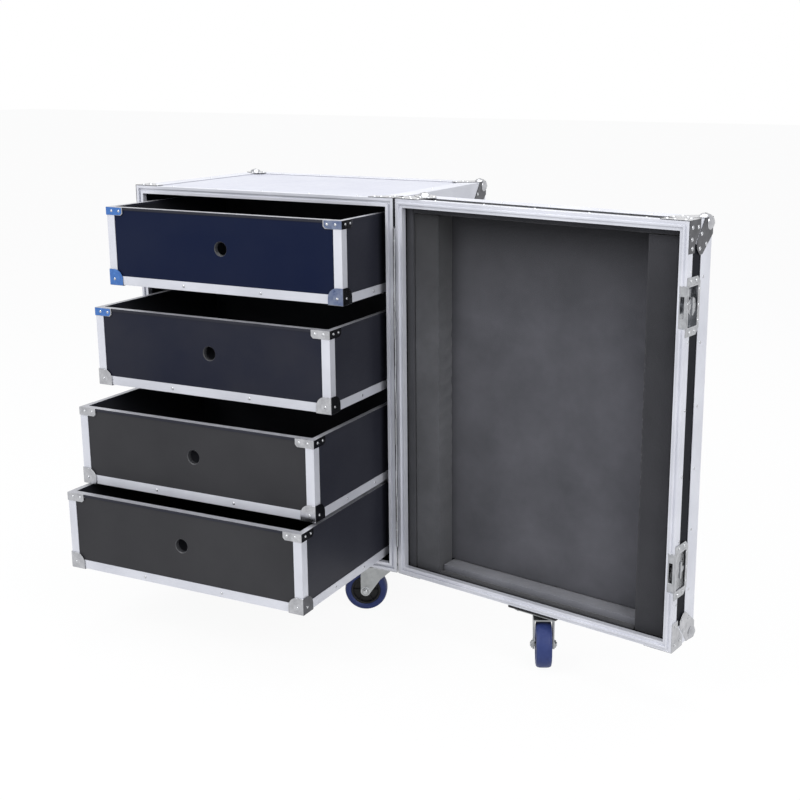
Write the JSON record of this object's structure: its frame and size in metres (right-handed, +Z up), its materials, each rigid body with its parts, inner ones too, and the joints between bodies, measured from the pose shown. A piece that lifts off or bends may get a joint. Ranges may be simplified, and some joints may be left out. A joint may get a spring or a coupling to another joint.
{
  "type": "wireless microphone flight case",
  "caption": "Drawer flight case on swivel casters for wireless microphones, with a foam-lined door on a piano hinge.",
  "frame": {"origin": "centre of the case body's underside, on the bottom panel", "axes": "+Z up, -Y out of the drawers' fronts, +X towards the door's hinge"},
  "size_m": [1.4083, 0.8227, 0.9829],
  "materials": {
    "panel_laminate": "satin laminate on plywood",
    "drawer_laminate": "satin laminate on plywood",
    "aluminium": "brushed extrusion",
    "zinc_steel": "zinc plated",
    "runner": "black-coated steel shelf with a slide rail",
    "foam": "charcoal foam",
    "tyre": "blue elastic rubber",
    "black_board": "black board under a steel plate"
  },
  "bodies": {
    "case": {"case_top_panel": "panel_laminate", "case_bottom_panel": "panel_laminate", "case_left_panel": "panel_laminate", "case_right_panel": "panel_laminate", "case_back_panel": "panel_laminate", "case_closure_frame": "aluminium", "case_edging": "aluminium", "case_hinge_leaf": "aluminium", "left_handle_dish": "zinc_steel", "right_handle_dish": "zinc_steel", "drawer_1_left_runner": "runner", "drawer_1_right_runner": "runner", "drawer_2_left_runner": "runner", "drawer_2_right_runner": "runner", "drawer_3_left_runner": "runner", "drawer_3_right_runner": "runner", "drawer_4_left_runner": "runner", "drawer_4_right_runner": "runner", "front_left_caster_plate": "zinc_steel", "front_right_caster_plate": "zinc_steel", "back_left_caster_plate": "zinc_steel", "back_right_caster_plate": "zinc_steel"},
    "door": {"door_shell": "panel_laminate", "door_closure_frame": "aluminium", "door_edging": "aluminium", "door_hinge_leaf": "aluminium", "door_foam_lining": "foam", "lower_latch_dish": "zinc_steel", "upper_latch_dish": "zinc_steel", "door_caster_plate": "black_board"},
    "drawer_1": {"drawer_1_box": "drawer_laminate", "drawer_1_edging": "aluminium"},
    "drawer_1_slides": {"drawer_1_left_middle_rail": "zinc_steel", "drawer_1_right_middle_rail": "zinc_steel"},
    "drawer_2": {"drawer_2_box": "drawer_laminate", "drawer_2_edging": "aluminium"},
    "drawer_2_slides": {"drawer_2_left_middle_rail": "zinc_steel", "drawer_2_right_middle_rail": "zinc_steel"},
    "drawer_3": {"drawer_3_box": "drawer_laminate", "drawer_3_edging": "aluminium"},
    "drawer_3_slides": {"drawer_3_left_middle_rail": "zinc_steel", "drawer_3_right_middle_rail": "zinc_steel"},
    "drawer_4": {"drawer_4_box": "drawer_laminate", "drawer_4_edging": "aluminium"},
    "drawer_4_slides": {"drawer_4_left_middle_rail": "zinc_steel", "drawer_4_right_middle_rail": "zinc_steel"},
    "front_left_caster": {"front_left_caster_fork": "zinc_steel"},
    "front_left_wheel": {"front_left_caster_wheel": "tyre"},
    "front_right_caster": {"front_right_caster_fork": "zinc_steel"},
    "front_right_wheel": {"front_right_caster_wheel": "tyre"},
    "back_left_caster": {"back_left_caster_fork": "zinc_steel"},
    "back_left_wheel": {"back_left_caster_wheel": "tyre"},
    "back_right_caster": {"back_right_caster_fork": "zinc_steel"},
    "back_right_wheel": {"back_right_caster_wheel": "tyre"},
    "door_caster": {"door_caster_fork": "zinc_steel"},
    "door_wheel": {"door_caster_wheel": "tyre"},
    "lower_latch": {"lower_latch": "zinc_steel"},
    "upper_latch": {"upper_latch": "zinc_steel"},
    "left_handle": {"left_handle": "zinc_steel"},
    "right_handle": {"right_handle": "zinc_steel"}
  },
  "joints": [
    {"name": "door_hinge", "type": "hinge", "parent": "case", "child": "door", "pos_m": [0.3453, -0.241, 0.4235], "axis": [0, 0, 1], "range_deg": [-79.5, 6.5]},
    {"name": "drawer_1_slide", "type": "slide", "parent": "case", "child": "drawer_1", "axis": [0, -1, 0], "range_m": [-0.341, 0.059]},
    {"name": "drawer_1_middle_slide", "type": "slide", "parent": "case", "child": "drawer_1_slides", "axis": [0, -1, 0], "range_m": [-0.1705, 0.0295]},
    {"name": "drawer_2_slide", "type": "slide", "parent": "case", "child": "drawer_2", "axis": [0, -1, 0], "range_m": [-0.286, 0.114]},
    {"name": "drawer_2_middle_slide", "type": "slide", "parent": "case", "child": "drawer_2_slides", "axis": [0, -1, 0], "range_m": [-0.143, 0.057]},
    {"name": "drawer_3_slide", "type": "slide", "parent": "case", "child": "drawer_3", "axis": [0, -1, 0], "range_m": [-0.215, 0.185]},
    {"name": "drawer_3_middle_slide", "type": "slide", "parent": "case", "child": "drawer_3_slides", "axis": [0, -1, 0], "range_m": [-0.1075, 0.0925]},
    {"name": "drawer_4_slide", "type": "slide", "parent": "case", "child": "drawer_4", "axis": [0, -1, 0], "range_m": [-0.159, 0.241]},
    {"name": "drawer_4_middle_slide", "type": "slide", "parent": "case", "child": "drawer_4_slides", "axis": [0, -1, 0], "range_m": [-0.0795, 0.1205]},
    {"name": "front_left_swivel", "type": "hinge", "parent": "case", "child": "front_left_caster", "pos_m": [-0.274, -0.181, -0.0125], "axis": [0, 0, 1], "continuous": true},
    {"name": "front_left_roll", "type": "hinge", "parent": "front_left_caster", "child": "front_left_wheel", "pos_m": [-0.31245, -0.19203, -0.0765], "axis": [0.2756, -0.9613, 0], "continuous": true},
    {"name": "front_right_swivel", "type": "hinge", "parent": "case", "child": "front_right_caster", "pos_m": [0.274, -0.181, -0.0125], "axis": [0, 0, 1], "continuous": true},
    {"name": "front_right_roll", "type": "hinge", "parent": "front_right_caster", "child": "front_right_wheel", "pos_m": [0.23746, -0.19727, -0.0765], "axis": [0.4067, -0.9135, 0], "continuous": true},
    {"name": "back_left_swivel", "type": "hinge", "parent": "case", "child": "back_left_caster", "pos_m": [-0.274, 0.181, -0.0125], "axis": [0, 0, 1], "continuous": true},
    {"name": "back_left_roll", "type": "hinge", "parent": "back_left_caster", "child": "back_left_wheel", "pos_m": [-0.30864, 0.201, -0.0765], "axis": [-0.5, -0.866, 0], "continuous": true},
    {"name": "back_right_swivel", "type": "hinge", "parent": "case", "child": "back_right_caster", "pos_m": [0.274, 0.181, -0.0125], "axis": [0, 0, 1], "continuous": true},
    {"name": "back_right_roll", "type": "hinge", "parent": "back_right_caster", "child": "back_right_wheel", "pos_m": [0.30552, 0.20563, -0.0765], "axis": [-0.6157, 0.788, 0], "continuous": true},
    {"name": "door_swivel", "type": "hinge", "parent": "door", "child": "door_caster", "pos_m": [0.70868, -0.2575, -0.0125], "axis": [0, 0, 1], "continuous": true},
    {"name": "door_roll", "type": "hinge", "parent": "door_caster", "child": "door_wheel", "pos_m": [0.72495, -0.29404, -0.0765], "axis": [0.9135, 0.4067, 0], "continuous": true},
    {"name": "lower_latch_turn", "type": "hinge", "parent": "door", "child": "lower_latch", "pos_m": [1.02601, -0.3397, 0.1635], "axis": [0.9833, -0.1822, 0], "range_deg": [0, 90]},
    {"name": "upper_latch_turn", "type": "hinge", "parent": "door", "child": "upper_latch", "pos_m": [1.02601, -0.3397, 0.6885], "axis": [0.9833, -0.1822, 0], "range_deg": [0, 90]},
    {"name": "left_handle_lift", "type": "hinge", "parent": "case", "child": "left_handle", "pos_m": [-0.3335, 0, 0.5805], "axis": [0, 1, 0], "range_deg": [0, 90], "stiffness_Nm_per_rad": 0.3, "springref_deg": -28.65},
    {"name": "right_handle_lift", "type": "hinge", "parent": "case", "child": "right_handle", "pos_m": [0.3335, 0, 0.5805], "axis": [0, -1, 0], "range_deg": [0, 90], "stiffness_Nm_per_rad": 0.3, "springref_deg": -28.65}
  ],
  "couplings": [
    {"joint": "drawer_1_middle_slide", "follows": "drawer_1_slide", "ratio": 0.5},
    {"joint": "drawer_2_middle_slide", "follows": "drawer_2_slide", "ratio": 0.5},
    {"joint": "drawer_3_middle_slide", "follows": "drawer_3_slide", "ratio": 0.5},
    {"joint": "drawer_4_middle_slide", "follows": "drawer_4_slide", "ratio": 0.5}
  ]
}
